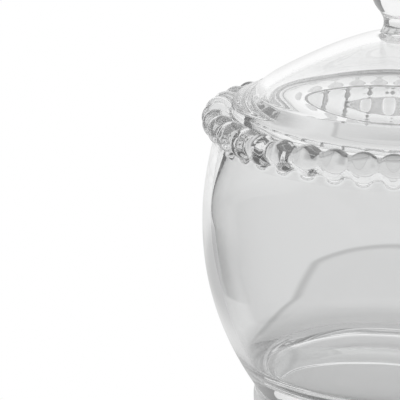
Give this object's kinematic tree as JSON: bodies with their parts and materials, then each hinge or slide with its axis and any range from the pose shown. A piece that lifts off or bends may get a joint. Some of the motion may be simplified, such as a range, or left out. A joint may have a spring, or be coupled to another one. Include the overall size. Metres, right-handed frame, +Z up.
{
  "type": "sugar bowl",
  "caption": "Round clear glass sugar bowl on a low foot, with a beaded rim and a domed lift-off lid with a ball knob",
  "frame": {"origin": "centre of the circle on which the foot stands, at table height", "axes": "+Z up along the axis of revolution, +X and +Y level; a bead faces -Y"},
  "size_m": [0.11, 0.1104, 0.1363],
  "materials": {
    "bowl_glass": "clear polished",
    "foot_glass": "clear polished",
    "bead_glass": "clear fire polished",
    "lid_glass": "clear polished",
    "knob_glass": "clear fire polished"
  },
  "bodies": {
    "bowl": {"bowl_body": "bowl_glass", "foot_ring": "foot_glass", "rim_bead_01": "bead_glass", "rim_bead_02": "bead_glass", "rim_bead_03": "bead_glass", "rim_bead_04": "bead_glass", "rim_bead_05": "bead_glass", "rim_bead_06": "bead_glass", "rim_bead_07": "bead_glass", "rim_bead_08": "bead_glass", "rim_bead_09": "bead_glass", "rim_bead_10": "bead_glass", "rim_bead_11": "bead_glass", "rim_bead_12": "bead_glass", "rim_bead_13": "bead_glass", "rim_bead_14": "bead_glass", "rim_bead_15": "bead_glass", "rim_bead_16": "bead_glass", "rim_bead_17": "bead_glass", "rim_bead_18": "bead_glass", "rim_bead_19": "bead_glass", "rim_bead_20": "bead_glass", "rim_bead_21": "bead_glass", "rim_bead_22": "bead_glass", "rim_bead_23": "bead_glass", "rim_bead_24": "bead_glass", "rim_bead_25": "bead_glass", "rim_bead_26": "bead_glass", "rim_bead_27": "bead_glass", "rim_bead_28": "bead_glass", "rim_bead_29": "bead_glass", "rim_bead_30": "bead_glass", "rim_bead_31": "bead_glass", "rim_bead_32": "bead_glass", "rim_bead_33": "bead_glass", "rim_bead_34": "bead_glass", "rim_bead_35": "bead_glass", "rim_bead_36": "bead_glass", "rim_bead_37": "bead_glass", "rim_bead_38": "bead_glass", "rim_bead_39": "bead_glass", "rim_bead_40": "bead_glass", "rim_bead_41": "bead_glass", "rim_bead_42": "bead_glass"},
    "lid": {"lid_cover": "lid_glass", "lid_locating_ring": "lid_glass", "knob_stem": "knob_glass", "knob_ball": "knob_glass"}
  },
  "joints": [
    {"name": "lid_lift", "type": "slide", "parent": "bowl", "child": "lid", "axis": [0, 0, 1], "range_m": [0, 0.06]}
  ]
}
